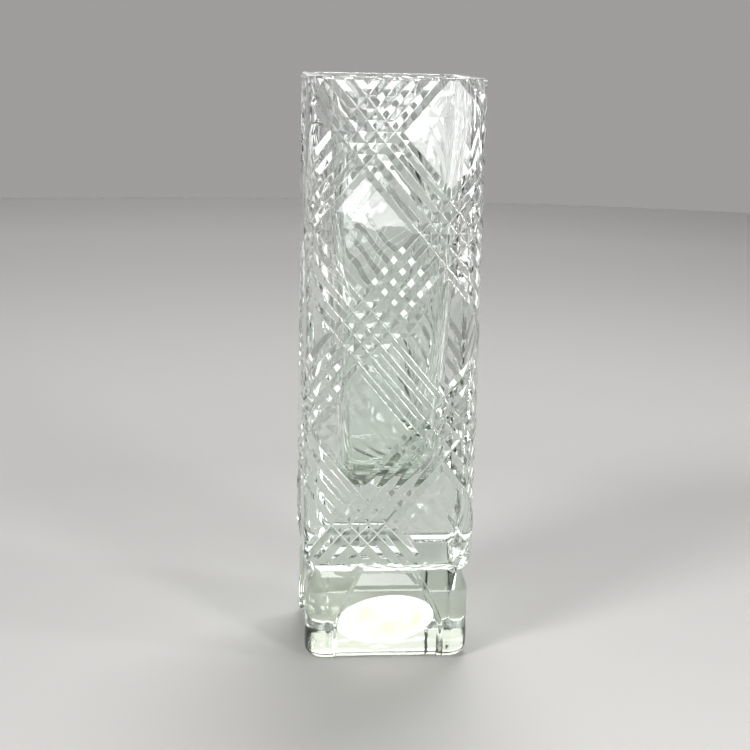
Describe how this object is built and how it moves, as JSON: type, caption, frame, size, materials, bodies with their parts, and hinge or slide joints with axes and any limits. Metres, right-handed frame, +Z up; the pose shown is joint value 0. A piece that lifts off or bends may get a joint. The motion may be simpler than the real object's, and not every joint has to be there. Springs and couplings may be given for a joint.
{
  "type": "cut crystal vase",
  "caption": "Tall square vase of cut glass with diamond bands, a deep well, rounded edges and a solid stepped square foot with an oval sticker.",
  "frame": {"origin": "middle of the flat underside that the vase stands on", "axes": "+Z up, out of the mouth; the face with the sticker looks along -Y; +X is to the right as that face is seen"},
  "size_m": [0.06, 0.06, 0.204],
  "materials": {
    "column_glass": "clear polished cut glass with a faint grey-green tint",
    "foot_glass": "clear polished solid glass with a faint green tint",
    "sticker_paper": "white paper with a worn pale gold print and no lettering"
  },
  "bodies": {
    "root": {"vase_body": "column_glass", "foot": "foot_glass", "label": "sticker_paper"}
  },
  "joints": []
}
